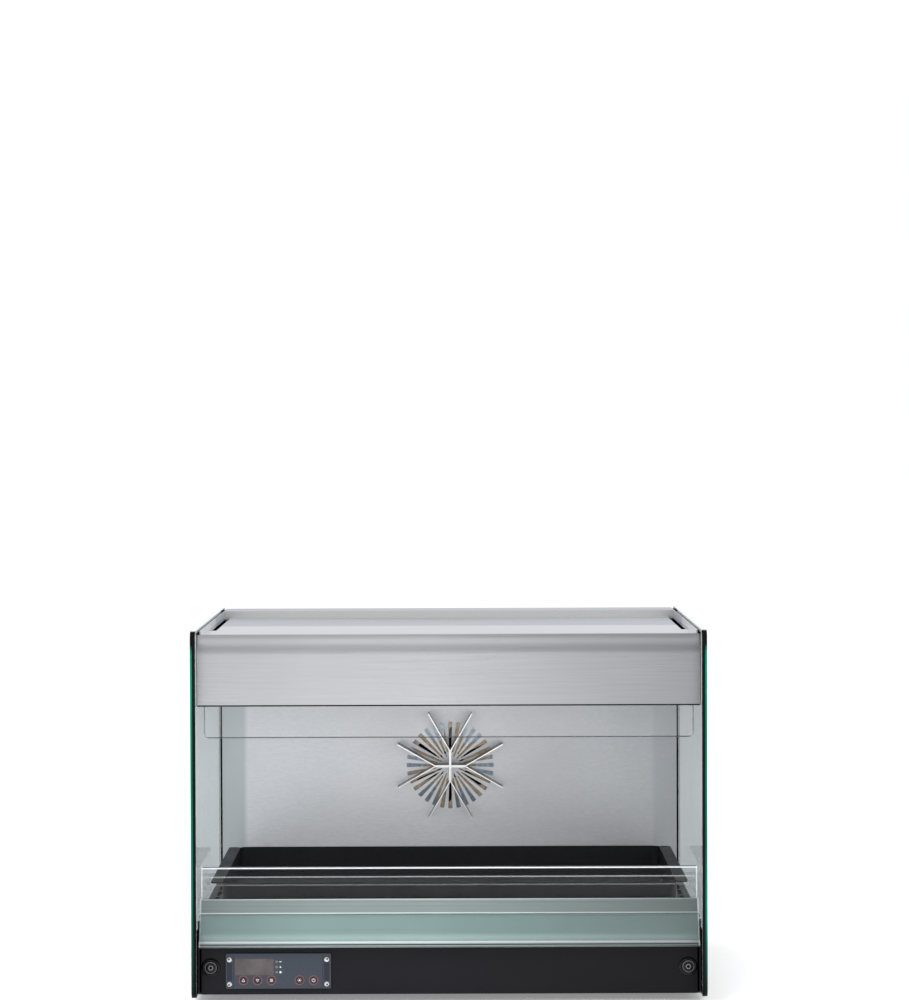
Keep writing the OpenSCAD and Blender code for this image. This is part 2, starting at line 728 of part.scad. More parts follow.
module button_rings() color([0.75, 0.42, 0.34])
    for (x = button_x) difference() {
        rod(x, button_z, [panel_d - 0.1, panel_d + 0.4], ring_r);
        rod(x, button_z, [panel_d - 1, panel_d + 1], ring_in);
    }

// A cap that shows at the front, a flange that keeps it in and a plunger for the key switch
module button(i) color([0.28, 0.3, 0.34]) {
    x = button_x[i];
    flange_d = panel_d + panel_t + 0.1;
    rod(x, button_z, [panel_d - button_travel, flange_d + 0.5], button_r);
    rod(x, button_z, [flange_d, flange_d + 1], button_r + 1.1);
    rod(x, button_z, [flange_d + 0.5, board_d - 3.1 - button_travel], 1.6);
}

module button_up() button(0);
module button_down() button(1);
module button_set() button(2);
module button_light() button(3);
module button_power() button(4);

module indicator_leds() color([0.85, 0.85, 0.8])
    for (z = led_heights) rod(led_x, z, [panel_d - 0.2, panel_d + panel_t], 1.5);

// Front rail, riser and tray ---------------------------------------------------------

// Thin back with a thicker head above the label cover and a lip below it
module ticket_rail() color([0.5, 0.58, 0.57])
    across([-rail_x, rail_x]) polygon([
        on_rail(-1.5, -rail_t), on_rail(-1.5, lip_t), on_rail(lip_top, lip_t), on_rail(lip_top, 0.1),
        on_rail(0, 0.1), on_rail(0, -cover_t - label_gap),
        on_rail(cover_top + 0.2, -cover_t - label_gap), on_rail(cover_top + 0.2, 0),
        on_rail(rail_len, 0), on_rail(rail_len, -rail_t)]);

module ticket_cover() color([0.8, 0.88, 0.87, 0.4])
    across([1 - rail_x, rail_x - 1]) polygon([
        on_rail(0, -cover_t), on_rail(0, 0), on_rail(cover_top, 0), on_rail(cover_top, -cover_t)]);

module rail_end_pins() color([0.1, 0.1, 0.1]) {
    d = on_rail((rail_pin_z - rail_foot.y) / rail_dir.y, -rail_t / 2).x;
    for (s = sides)
        translate([s > 0 ? rail_x : -inner_x, front_y + d, rail_pin_z])
            rotate([0, 90, 0]) cylinder(h = inner_x - rail_x, r = 4);
}

module riser_channel() color([0.08, 0.08, 0.09])
    difference() {
        slot_d = [riser_d - riser_play, riser_d + riser_t + riser_play];
        x = riser_x + 0.5;
        block([-x, x], [slot_d[0] - channel_wall, slot_d[1] + channel_wall], [deck_z, channel_z]);
        block([-x - 1, x + 1], slot_d, [riser_floor, channel_z + 1]);
    }

// Clear sheet, upright and then bent a little to the rear along its top
module clear_riser() color([0.82, 0.9, 0.9, 0.3])
    across([-riser_x, riser_x])
        polygon(ribbon([[riser_d, riser_floor], [riser_d, riser_bend],
            [riser_d + riser_lean, riser_top]], -riser_t, 0));

module food_tray() color([0.09, 0.09, 0.1]) {
    d = [tray_d, tray_d + tray_len];
    floor_z = deck_z + tray_rib;
    r = 12;
    difference() {
        up([floor_z, tray_rim]) polygon(round_box([-tray_x, tray_x], d, r));
        up([floor_z + tray_t, tray_rim + 1])
            polygon(round_box([tray_t - tray_x, tray_x - tray_t], [d[0] + tray_t, d[1] - tray_t], r - tray_t));
    }
    for (s = sides) {
        x = s > 0 ? [tray_x - 1, tray_x + tray_lip] : [-tray_x - tray_lip, 1 - tray_x];
        difference() {
            up([tray_rim - tray_t, tray_rim]) polygon(round_box(x, [d[0] + 3, d[1] - 3], 6));
            up([tray_rim - 2 * tray_t, tray_rim + 1])
                polygon(round_box([tray_t - tray_x, tray_x - tray_t],
                    [d[0] + tray_t, d[1] - tray_t], r - tray_t));
        }
        block([s * 180 - 5, s * 180 + 5], [d[0] + 20, d[1] - 20], [deck_z, floor_z + 0.5]);
    }
}

feet();
foot_screws();
base_pan();
base_fascia();
fascia_cup_washers();
fascia_screws();
deck_plate();
glass_left();
glass_right();
glass_channels();
top_gaskets();
hood_front();
hood_seal();
top_tray();
ceiling_liner();
ceiling_duct();
insulation_top();
led_housing();
led_lens();
valance();
valance_studs();
back_panel();
back_panel_gaskets();
fan_guard();
fan_impeller();
fan_shaft();
fan_nut();
fan_motor();
motor_plate();
motor_screws();
heating_element();
rear_duct();
insulation_rear();
rear_posts();
rear_cover();
rear_cover_screws();
temperature_probe();
safety_thermostat();
mains_inlet();
inlet_pins();
terminal_block();
controller_body();
controller_board();
panel_plate();
panel_screws();
display_window();
button_rings();
button_up();
button_down();
button_set();
button_light();
button_power();
indicator_leds();
ticket_rail();
ticket_cover();
rail_end_pins();
riser_channel();
clear_riser();
food_tray();
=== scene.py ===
"""Looks for the hot food display case: materials, detail pieces, camera, lights and floor."""
import json
import math

import bmesh
import bpy
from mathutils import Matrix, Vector


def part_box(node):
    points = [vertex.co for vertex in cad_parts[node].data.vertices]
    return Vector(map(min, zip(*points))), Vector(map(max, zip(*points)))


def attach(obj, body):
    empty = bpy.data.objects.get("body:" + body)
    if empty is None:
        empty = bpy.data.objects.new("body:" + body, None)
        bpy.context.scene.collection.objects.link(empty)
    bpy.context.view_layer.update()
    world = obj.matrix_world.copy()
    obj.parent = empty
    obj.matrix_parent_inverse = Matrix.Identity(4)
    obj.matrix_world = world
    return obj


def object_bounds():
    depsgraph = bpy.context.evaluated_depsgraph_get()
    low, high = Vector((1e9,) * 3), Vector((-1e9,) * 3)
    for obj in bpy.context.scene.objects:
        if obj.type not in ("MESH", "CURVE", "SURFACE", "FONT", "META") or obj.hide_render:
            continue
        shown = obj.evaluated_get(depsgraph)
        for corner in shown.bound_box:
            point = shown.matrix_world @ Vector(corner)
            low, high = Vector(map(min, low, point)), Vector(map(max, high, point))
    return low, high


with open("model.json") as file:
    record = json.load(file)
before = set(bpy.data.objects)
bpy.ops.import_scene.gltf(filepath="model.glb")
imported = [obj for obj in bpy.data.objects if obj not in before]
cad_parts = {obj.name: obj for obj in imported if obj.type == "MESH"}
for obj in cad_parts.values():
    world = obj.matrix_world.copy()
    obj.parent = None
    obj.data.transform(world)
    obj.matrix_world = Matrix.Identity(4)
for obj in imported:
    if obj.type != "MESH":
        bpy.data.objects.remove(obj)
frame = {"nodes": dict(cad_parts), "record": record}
NODES = frame["nodes"]
CAD_BOX = [list(p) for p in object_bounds()]
MM = 0.001

# Camera, from the perspective of the photo
CAMERA_AWAY = 4.17      # m in front of the side panels' front edges
CAMERA_HEIGHT = 0.675
CAMERA_X = 0.0079
LENS = 129.6            # mm
PITCH = 1.204           # degrees downwards
ROLL = 0.19             # degrees

GRAIN = 0.1 * MM        # height of the surface grain in the bump nodes
GLASS_IOR = 1.52
PRINT_GRAIN = 2600      # noise scale of prints and the smallest parts
ASIDE, FACING = 0.5, 0.8        # a normal's share along an axis: turned away, and facing it
DIM_LEFT = (-0.29, -0.16)       # x between which the dimming at the left side fades out
DIM_RIGHT = (-0.02, 0.29)       # x between which the dimming towards the right side grows

# Linear colours
STEEL = (0.56, 0.57, 0.59)
DULL_STEEL = (0.42, 0.425, 0.43)
BASE_BLACK = (0.008, 0.008, 0.011)
DEEP_BLACK = (0.004, 0.004, 0.005)
TRAY_BLACK = (0.012, 0.012, 0.014)
PANEL_GREY = (0.036, 0.045, 0.062)
BUTTON_GREY = (0.02, 0.026, 0.036)
COPPER = (0.24, 0.066, 0.05)
GLASS_GREEN = (0.0, 0.21, 0.115)
GLASS_TINT = (0.87, 0.905, 0.91)
CLEAR_TINT = (0.98, 0.985, 0.985)
RAIL_GREEN = (0.22, 0.272, 0.267)
WHITE = (0.85, 0.86, 0.86)


# Node helpers ---------------------------------------------------------------------

class Shader:
    """A material's node tree, with short ways to add nodes."""

    def __init__(self, name):
        self.material = bpy.data.materials.new(name)
        self.material.use_nodes = True
        self.tree = self.material.node_tree
        self.tree.nodes.clear()
        self.output = self.tree.nodes.new("ShaderNodeOutputMaterial")

    def node(self, kind, settings=None, **inputs):
        made = self.tree.nodes.new(kind)
        for key, value in (settings or {}).items():
            setattr(made, key, value)
        for key, value in inputs.items():
            self.put(made.inputs[key.replace("_", " ")], value)
        return made

    def put(self, socket, value):
        if isinstance(value, bpy.types.NodeSocket):
            self.tree.links.new(value, socket)
        elif isinstance(value, tuple) and len(value) == 3 and socket.type == "RGBA":
            socket.default_value = (*value, 1.0)
        else:
            socket.default_value = value

    def coordinates(self, stretch=(1, 1, 1)):
        point = self.node("ShaderNodeTexCoord").outputs["Object"]
        return self.node("ShaderNodeMapping", Vector=point, Scale=stretch).outputs["Vector"]

    def noise(self, stretch, scale=1.0, detail=3.0):
        vector = self.coordinates(stretch)
        made = self.node("ShaderNodeTexNoise", Vector=vector, Scale=scale, Detail=detail)
        return made.outputs["Fac"]

    def spread(self, value, low, high, start=0.3, end=0.7):
        """Maps start..end, by default the middle of a noise, to low..high."""
        made = self.node("ShaderNodeMapRange")
        for index, number in enumerate((value, start, end, low, high)):
            self.put(made.inputs[index], number)
        return made.outputs["Result"]

    def math(self, operation, a, b=0.0):
        made = self.node("ShaderNodeMath", {"operation": operation})
        self.put(made.inputs[0], a)
        self.put(made.inputs[1], b)
        return made.outputs["Value"]

    def mix(self, factor, a, b):
        made = self.node("ShaderNodeMix", {"data_type": "RGBA"})
        self.put(made.inputs["Factor"], factor)
        self.put(made.inputs[6], a)
        self.put(made.inputs[7], b)
        return made.outputs[2]

    def bump(self, height, strength, distance=GRAIN):
        made = self.node("ShaderNodeBump", Height=height, Strength=strength, Distance=distance)
        return made.outputs["Normal"]

    def principled(self, color, roughness, metallic=0.0, normal=None, **more):
        made = self.node("ShaderNodeBsdfPrincipled")
        self.put(made.inputs["Base Color"], color)
        self.put(made.inputs["Roughness"], roughness)
        self.put(made.inputs["Metallic"], metallic)
        if normal is not None:
            self.put(made.inputs["Normal"], normal)
        for key, value in more.items():
            self.put(made.inputs[key.replace("_", " ")], value)
        return made.outputs["BSDF"]

    def finish(self, surface):
        self.put(self.output.inputs["Surface"], surface)
        return self.material


def shade(color, factor):
    return tuple(c * factor for c in color)


def axis_value(s, axis, source=None):
    """One coordinate of a surface point, or of the vector given."""
    vector = source or s.coordinates()
    return s.node("ShaderNodeSeparateXYZ", Vector=vector).outputs[axis]


def distance_aside(s):
    """How far a surface point is from the case's middle plane."""
    return s.math("ABSOLUTE", axis_value(s, "X"))


def normal_share(s, axis):
    """How much of the surface normal points along an axis, with its sign."""
    return axis_value(s, axis, s.node("ShaderNodeNewGeometry").outputs["Normal"])


def facing_front(s):
    """1 where a face looks straight to the front or the rear, and 0 where it looks aside."""
    return s.math("ABSOLUTE", normal_share(s, "Y"))


def across(s, tone, left, right):
    """Dims a colour towards the sides of the case, where less of the light reaches."""
    x = axis_value(s, "X")
    factor = s.math("MULTIPLY", s.spread(x, left, 1, *DIM_LEFT), s.spread(x, 1, right, *DIM_RIGHT))
    return s.mix(factor, (0.0, 0.0, 0.0), tone)


def between(s, value, low, high, soft=0.3 * MM):
    """1 where value lies between low and high, fading over a short length."""
    up = s.spread(value, 0, 1, low - soft, low + soft)
    return s.math("MULTIPLY", up, s.spread(value, 1, 0, high - soft, high + soft))


def mixed(s, factor, first, second):
    made = s.node("ShaderNodeMixShader", Fac=factor)
    s.put(made.inputs[1], first)
    s.put(made.inputs[2], second)
    return made.outputs[0]


# Materials --------------------------------------------------------------------------

def brushed(name, color=STEEL, roughness=0.3, stretch=(14, 1500, 1500), depth=0.012,
            painted_shading=None, lift=None):
    """Metal with a fine grain along the axis of least stretch, and faint handling marks. A shading function,
    when given, paints light and shade onto its colour.
    lift (low, high, strength) adds stray light that fades out from height low up to high."""
    s = Shader(name)
    grain = s.noise(stretch)
    marks = s.noise((7, 7, 7), detail=4)
    tone = s.mix(s.spread(grain, 0, 1), shade(color, 0.93), shade(color, 1.05))
    tone = s.mix(s.spread(marks, 0, 0.3, 0.45, 0.75), tone, shade(color, 0.93))
    # Painted light and shade from the shading function
    if painted_shading:
        tone = painted_shading(s, tone)
    grain_rough = s.spread(grain, roughness - 0.03, roughness + 0.04)
    rough = s.math("ADD", grain_rough, s.spread(marks, -0.02, 0.04))
    normal = s.bump(grain, depth)
    stray = s.spread(axis_value(s, "Z"), lift[2], 0, lift[0], lift[1]) if lift else 0.0
    return s.finish(s.principled(tone, rough, 1.0, normal, Anisotropic=0.45, Emission_Color=tone,
                                 Emission_Strength=stray))


def coated(name, color, roughness, grain_scale=1400, depth=0.12, gloss=0.35, dim=None):
    """Powder coat or moulded plastic: orange-peel grain, uneven gloss and faint rubbed spots.
    dim (left, right) is the brightness left at each side of the case."""
    s = Shader(name)
    grain = s.noise((1, 1, 1), grain_scale, 2)
    wear = s.noise((14, 14, 14), detail=5)
    tone = s.mix(s.spread(grain, 0, 1), shade(color, 0.86), shade(color, 1.14))
    tone = s.mix(s.spread(wear, 0, 0.35, 0.55, 0.8), tone, shade(color, 1.5))
    if dim:
        tone = across(s, tone, *dim)
    worn_rough = s.spread(wear, roughness - 0.05, roughness + 0.06)
    rough = s.math("ADD", worn_rough, s.spread(grain, -0.03, 0.03))
    surface = s.principled(tone, rough, 0.0, s.bump(grain, depth), Specular_IOR_Level=gloss)
    return s.finish(surface)


def rubber(name):
    return coated(name, shade(DEEP_BLACK, 1.6), 0.75, 2200, 0.2)


def clear_sheet(name, tint, edge_color, face_axis, streaks=(), edge_from=0.7, mirror_tone=1.0,
                edge_gloss=0.5, ends=None):
    """Thin clear sheet. Faces across face_axis are clear; narrow edge faces carry the edge colour.
    Each streak (z0, z1, strength) is a band of height with a painted highlight, or painted shade if
    negative.
    ends (x, level, strength) paints the sheet's cut sides beyond +-x as a line of painted light of the given
    level."""
    s = Shader(name)
    geometry = s.node("ShaderNodeNewGeometry")
    facing = s.math("SUBTRACT", 1.0, geometry.outputs["Backfacing"])
    fresnel = s.node("ShaderNodeFresnel", IOR=GLASS_IOR).outputs["Fac"]
    smears = s.noise((16, 16, 16), detail=4)
    reflect = s.math("MULTIPLY", s.math("ADD", fresnel, s.spread(smears, 0.0, 0.012)), facing)
    through = s.node("ShaderNodeBsdfTransparent", Color=tint).outputs["BSDF"]
    rough = s.spread(smears, 0.03, 0.08)
    reflection = shade((1.0, 1.0, 1.0), mirror_tone)
    mirror = s.node("ShaderNodeBsdfAnisotropic", Color=reflection, Roughness=rough).outputs["BSDF"]
    surface = mixed(s, reflect, through, mirror)
    if streaks:
        height = axis_value(s, "Z")
        # Painted highlight and painted shade for the streaks
        shine = s.principled((0.82, 0.85, 0.87), 0.2)
        shadow = s.principled((0.03, 0.035, 0.045), 0.3)
        for low, high, strength in streaks:
            share = s.math("MULTIPLY", between(s, height, low, high, 0.2 * MM), abs(strength))
            surface = mixed(s, share, surface, shine if strength > 0 else shadow)
    if ends:
        cut_from, level, strength = ends
        cut = s.principled(shade((1.0, 1.03, 1.05), level), 0.3)
        share = s.spread(distance_aside(s), 0, strength, cut_from - 0.3 * MM, cut_from + 0.3 * MM)
        surface = mixed(s, share, surface, cut)
    normal = axis_value(s, face_axis, geometry.outputs["Normal"])
    is_edge = s.math("LESS_THAN", s.math("ABSOLUTE", normal), edge_from)
    edge = s.principled(edge_color(s), 0.16, 0.0, None, Specular_IOR_Level=edge_gloss)
    return s.finish(mixed(s, is_edge, surface, edge))


def green_edge(s):
    """Green on the outer part of a side panel's edge and nearly black further in, with painted dark
    reflections at its corners and a painted highlight on its flat top."""
    lo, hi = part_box("glass_right")
    outer, inner, low, high = CAD_BOX[1][0], lo.x, lo.z, hi.z
    thickness = outer - inner
    share = s.spread(distance_aside(s), 0, 1, inner + 0.55 * thickness, inner + 0.72 * thickness)
    height = axis_value(s, "Z")
    # Painted dark reflection at the bottom and top corners
    share = s.math("MULTIPLY", share, s.spread(height, 0.1, 1, low + 10 * MM, low + 110 * MM))
    share = s.math("MULTIPLY", share, s.spread(height, 1, 0, high - 26 * MM, high - 16 * MM))
    drift = s.noise((3, 7, 7), detail=2)
    green = s.mix(s.spread(drift, 0, 1), shade(GLASS_GREEN, 0.6), shade(GLASS_GREEN, 1.15))
    front = s.mix(share, DEEP_BLACK, green)
    # Painted highlight on the flat top
    return s.mix(s.spread(normal_share(s, "Z"), 0, 1, 0.93, 0.99), front, (0.8, 0.85, 0.86))


def grey_edge(s):
    """Dull grey edge of a thin clear sheet with a wall close behind it."""
    drift = s.noise((5, 5, 5), detail=2)
    return s.mix(s.spread(drift, 0, 1), (0.03, 0.032, 0.034), (0.07, 0.072, 0.075))


def pale_edge(s):
    """Milky light edge of a cut and polished clear sheet."""
    drift = s.noise((5, 5, 5), detail=2)
    return s.mix(s.spread(drift, 0, 1), (0.42, 0.46, 0.47), (0.75, 0.79, 0.8))


def shaded_top_edge(s):
    """The same milky edge, with painted shade along its top."""
    return s.mix(s.spread(normal_share(s, "Z"), 0, 1, 0.45, 0.6), pale_edge(s), (0.03, 0.035, 0.05))


def rail_plastic(name):
    """Grey-green extrusion: fine draw lines, and a painted lighter cove and painted light and dark lines at
    its joints.
    """
    s = Shader(name)
    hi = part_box("ticket_rail")[1]
    cover_lo, cover_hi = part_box("ticket_cover")
    lines = s.noise((2, 500, 500))
    height = axis_value(s, "Z")
    base = s.mix(s.spread(lines, 0, 1), shade(RAIL_GREEN, 0.68), shade(RAIL_GREEN, 0.8))
    # Painted light: below the cover's top edge the rail is lighter than the flap above
    below = s.spread(height, 1, 0, cover_hi.z - 0.5 * MM, cover_hi.z + 0.5 * MM)
    tone = s.mix(below, base, shade(RAIL_GREEN, 1.3))
    tone = s.mix(s.spread(s.noise((4, 1, 1), detail=2), 0, 0.35), tone, shade(RAIL_GREEN, 0.85))
    # Painted highlights and a painted shadow line along the edges and joints
    painted_lines = [   # from and to height, strength, colour, and the length each side fades over
        (cover_lo.z + 4 * MM, cover_lo.z + 11.5 * MM, 0.75, (0.5, 0.565, 0.565), 2.4 * MM),
        (cover_hi.z - 0.6 * MM, cover_hi.z + 1.1 * MM, 0.9, (0.56, 0.63, 0.62), 0.3 * MM),
        (hi.z - 1.4 * MM, hi.z + 1 * MM, 0.8, (0.38, 0.42, 0.43), 0.3 * MM),
        (cover_lo.z + 3.4 * MM, cover_lo.z + 4.4 * MM, 0.8, (0.55, 0.61, 0.63), 0.3 * MM),
        (cover_lo.z + 2.2 * MM, cover_lo.z + 3.3 * MM, 0.9, (0.3, 0.32, 0.36), 0.3 * MM),
        (cover_lo.z + 0.6 * MM, cover_lo.z + 2.1 * MM, 0.97, (0.012, 0.014, 0.018), 0.2 * MM),
    ]
    for low, high, strength, color, soft in painted_lines:
        tone = s.mix(s.math("MULTIPLY", between(s, height, low, high, soft), strength), tone, color)
    # Painted highlights at the ends, and painted shade towards the sides
    ends = s.spread(distance_aside(s), 0, 0.7, hi.x - 1.8 * MM, hi.x - 1 * MM)
    tone = s.mix(ends, across(s, tone, 0.7, 0.45), (0.5, 0.54, 0.56))
    rough = s.spread(lines, 0.26, 0.36)
    return s.finish(s.principled(tone, rough, 0.0, s.bump(lines, 0.05), Coat_Weight=0.2))


def side_shade(s, tone):
    """Painted shade: a bluish, darker strip down each side of the back wall, fainter on the right, and the
    wall dimmed towards the right.
    """
    reach = WALL_HI.x - 31 * MM
    x = axis_value(s, "X")
    side = s.spread(s.math("ABSOLUTE", x), 0, 1, reach - 3 * MM, reach + 3 * MM)
    side = s.math("MULTIPLY", side, s.spread(x, 1, 0.45, -0.1, 0.1))
    return across(s, s.mix(side, tone, (0.4, 0.43, 0.45)), 1.0, 0.64)


def hood_shade(s, tone):
    """Painted shade: dims the flat face a little against the roll above it, and the hood towards its sides.
    """
    flat = s.spread(facing_front(s), 0, 0.09, 0.85, 1.0)
    return s.mix(flat, across(s, tone, 0.88, 0.6), (0.0, 0.0, 0.0))


def top_shade(s, tone):
    """Painted reflections: the flat top is bright in front and bluish behind; its rear upstand is a warmer
    grey.
    """
    lo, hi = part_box("top_tray")
    upright = s.spread(facing_front(s), 0, 1, ASIDE, FACING)
    middle = lo.y + 0.52 * (hi.y - lo.y)
    back = s.spread(axis_value(s, "Y"), 0, 1, middle - 6 * MM, middle + 6 * MM)
    floor = s.mix(back, (0.86, 0.87, 0.9), (0.56, 0.6, 0.67))
    return s.mix(upright, s.mix(0.15, floor, tone), (0.8, 0.79, 0.76))


def strip_metal(name):
    """Bright strip: a painted highlight on the edges that face front, and painted shade with dark streaks on
    its flat sides.
    """
    s = Shader(name)
    streaks = s.noise((5, 90, 5), detail=2)
    sides = s.mix(s.spread(streaks, 0, 1), (0.1, 0.1, 0.102), (0.32, 0.315, 0.31))
    front = s.spread(facing_front(s), 0, 1, ASIDE, FACING)
    tone = s.mix(front, sides, (0.93, 0.92, 0.91))
    normal = s.bump(streaks, 0.02)
    rough = s.spread(streaks, 0.2, 0.34)
    return s.finish(s.principled(tone, rough, front, normal, Specular_IOR_Level=0.1))


def lit_plate(name, color, top_glow, low_glow, low, high, roughness=0.4):
    """Sheet metal deep inside the case, with the stray light it picks up growing with height."""
    s = Shader(name)
    speckle = s.noise((190, 190, 190), detail=3)
    tone = s.mix(s.spread(speckle, 0, 1), shade(color, 0.6), shade(color, 1.2))
    strength = s.spread(axis_value(s, "Z"), low_glow, top_glow, low, high)
    normal = s.bump(speckle, 0.04)
    return s.finish(s.principled(tone, s.spread(speckle, roughness, roughness + 0.1), 0.6, normal,
                                 Emission_Color=tone, Emission_Strength=strength))


def glow(name, color, strength):
    """A diffuser with a soft light of its own and a fine frosted grain."""
    s = Shader(name)
    grain = s.noise((1, 1, 1), 1500, 2)
    tone = s.mix(s.spread(grain, 0, 1), shade(color, 0.92), color)
    surface = s.principled(tone, s.spread(grain, 0.4, 0.55), 0.0, s.bump(grain, 0.1),
                           Emission_Color=color, Emission_Strength=strength)
    return s.finish(surface)


def fibre(name):
    """Mineral wool."""
    s = Shader(name)
    strands = s.noise((90, 90, 500), detail=6)
    tone = s.mix(s.spread(strands, 0, 1), (0.42, 0.36, 0.2), (0.7, 0.63, 0.42))
    return s.finish(s.principled(tone, 0.95, 0.0, s.bump(strands, 0.6, 0.002)))


def smoked(name):
    """Smoky window with a faint uneven gloss."""
    s = Shader(name)
    drift = s.noise((60, 60, 60), detail=3)
    tone = s.mix(s.spread(drift, 0, 1), (0.035, 0.028, 0.03), (0.08, 0.064, 0.067))
    return s.finish(s.principled(tone, s.spread(drift, 0.1, 0.16), 0.0, None, Coat_Weight=0.3))


def dished(name, level):
    """Gloss black turned part with painted highlights: the flat rim and the middle of the dome, which face
    the front, are painted lighter.
    """
    s = Shader(name)
    drift = s.noise((90, 90, 90), detail=3)
    bright = (level, level, level * 1.05)
    lit = s.mix(s.spread(drift, 0, 1), shade(bright, 0.7), bright)
    tone = s.mix(s.spread(facing_front(s), 0, 1, FACING, 0.97), DEEP_BLACK, lit)
    return s.finish(s.principled(tone, s.spread(drift, 0.2, 0.3), 0.0, None, Specular_IOR_Level=0.25))


RISER_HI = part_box("clear_riser")[1]
VALANCE_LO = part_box("valance")[0]
WALL_LO, WALL_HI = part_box("back_panel")
FAN_LO, FAN_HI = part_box("fan_impeller")
# Lines of light and shadow on the riser: from and to, in mm below its top edge, and strength
RISER_LINES = ((0.9, -1, -0.7), (2.6, 1.2, 0.75), (12.6, 11.4, 0.2), (22, 20.8, 0.08))

# The material of each slot in the record
MATERIALS = {
    "stainless": brushed("stainless"),
    "guard_steel": strip_metal("guard_steel"),
    "zinc_steel": brushed("zinc_steel", (0.66, 0.66, 0.66), 0.24, (300, 300, 300), 0.05),
    "galvanised": brushed("galvanised", DULL_STEEL, 0.42, (60, 60, 60), 0.05),
    # Impeller: its tan colour is a painted warm reflection, with a painted glow for stray light growing with
    # height
    "impeller_aluminium": lit_plate("impeller_aluminium", (0.3, 0.242, 0.172), 0.34, 0.22,
                                    FAN_LO.z, FAN_HI.z, 0.3),
    "led_aluminium": brushed("led_aluminium", (0.7, 0.7, 0.72), 0.35, (4, 700, 700), 0.04),
    "element_steel": brushed("element_steel", (0.2, 0.17, 0.16), 0.45, (120, 120, 120), 0.08),
    "brass_parts": brushed("brass_parts", (0.55, 0.4, 0.16), 0.3, (200, 200, 200), 0.04),
    # Painted shade, darker towards the right side
    "base_black": coated("base_black", BASE_BLACK, 0.42, gloss=0.16, dim=(1.0, 0.4)),
    "deck_black": coated("deck_black", BASE_BLACK, 0.4),
    "channel_black": coated("channel_black", DEEP_BLACK, 0.4, 900, 0.05),
    "black_steel": coated("black_steel", (0.012, 0.012, 0.013), 0.3, 1800, 0.04),
    "black_plastic": coated("black_plastic", (0.012, 0.012, 0.013), 0.35, 1500, 0.08),
    "motor_steel": coated("motor_steel", (0.08, 0.08, 0.085), 0.5, 700, 0.1),
    "tray_black": coated("tray_black", TRAY_BLACK, 0.45, 500, 0.01, gloss=0.14),
    "panel_grey": coated("panel_grey", PANEL_GREY, 0.45, 2400, 0.06),
    "button_grey": coated("button_grey", BUTTON_GREY, 0.4, 2400, 0.05),
    "ring_copper": coated("ring_copper", COPPER, 0.35, 2400, 0.03),
    "board_green": coated("board_green", (0.02, 0.1, 0.05), 0.4, 600, 0.08),
    "ceramic_white": coated("ceramic_white", (0.7, 0.69, 0.64), 0.55, 900, 0.08),
    "rubber_black": rubber("rubber_black"),
    "gasket_rubber": rubber("gasket_rubber"),
    "insulation": fibre("insulation"),
    "display_smoke": smoked("display_smoke"),
    "rail_green": rail_plastic("rail_green"),
    "led_diffuser": glow("led_diffuser", WHITE, 0.0),
    "side_glass": clear_sheet("side_glass", GLASS_TINT, green_edge, "X", edge_from=0.9, mirror_tone=0.7,
                              edge_gloss=0.06),
    "clear_sheet": clear_sheet("clear_sheet", CLEAR_TINT, pale_edge, "Y", edge_from=0.9),
    "ticket_clear": clear_sheet("ticket_clear", (0.86, 0.91, 0.905), pale_edge, "Y"),
}

# Single nodes whose look in the photo differs from the rest of their slot
NODE_MATERIALS = {
    "led_lens": glow("light_lens", (1.0, 0.97, 0.92), 2.5),
    "indicator_leds": coated("lamp_cap", (0.16, 0.15, 0.16), 0.3, PRINT_GRAIN, 0.03),
    # Back wall: painted shade down its sides and towards the right, and a painted glow low down
    "back_panel": brushed("back_wall", STEEL, 0.4, (160, 900, 900), 0.012, side_shade,
                          (WALL_LO.z, WALL_HI.z - 40 * MM, 0.5)),
    "top_tray": brushed("top_steel", STEEL, 0.3, (14, 1500, 1500), 0.008, top_shade),
    "top_gaskets": coated("gasket_dull", shade(DEEP_BLACK, 1.2), 0.8, 2200, 0.02, gloss=0.02),
    "back_panel_gaskets": coated("joint_dull", shade(DEEP_BLACK, 0.8), 0.8, 2200, 0.02, gloss=0.02),
    # Painted shadow line along the valance's bottom edge, and painted lines at its cut sides
    "valance": clear_sheet("valance_clear", shade((1.0, 1.0, 1.0), 0.985), grey_edge, "Y", edge_from=0.9,
                           streaks=((VALANCE_LO.z - 1 * MM, VALANCE_LO.z + 1.1 * MM, -0.6),),
                           ends=(-VALANCE_LO.x - 1.3 * MM, 0.16, 0.45)),
    "hood_front": brushed("hood_steel", painted_shading=hood_shade),
    # Painted highlights on the front-facing rims of the washers and screws
    "fascia_cup_washers": dished("cup_black", 0.006),
    "fascia_screws": dished("screw_black", 0.012),
    # Painted glow for stray light, growing with height
    "rear_duct": lit_plate("duct_zinc", (0.32, 0.39, 0.46), 0.8, 0.08, FAN_LO.z, FAN_HI.z),
    # Painted lines of light and shadow, painted shade on the top edge and painted highlights at the ends
    "clear_riser": clear_sheet("riser_clear", CLEAR_TINT, shaded_top_edge, "Y", edge_from=0.9, mirror_tone=0.3,
                               streaks=[(RISER_HI.z - low * MM, RISER_HI.z - high * MM, strength)
                                        for low, high, strength in RISER_LINES],
                               ends=(RISER_HI.x - 1.1 * MM, 0.8, 0.6)),
}
PRINT_BLACK = coated("print_black", shade(DEEP_BLACK, 0.7), 0.8, 900, 0.0, gloss=0.0)
PRINT_WHITE = coated("print_white", (0.72, 0.74, 0.76), 0.5, PRINT_GRAIN, 0.03)
STRIP_GREY = coated("strip_grey", (0.024, 0.026, 0.042), 0.42, PRINT_GRAIN, 0.05, gloss=0.2)
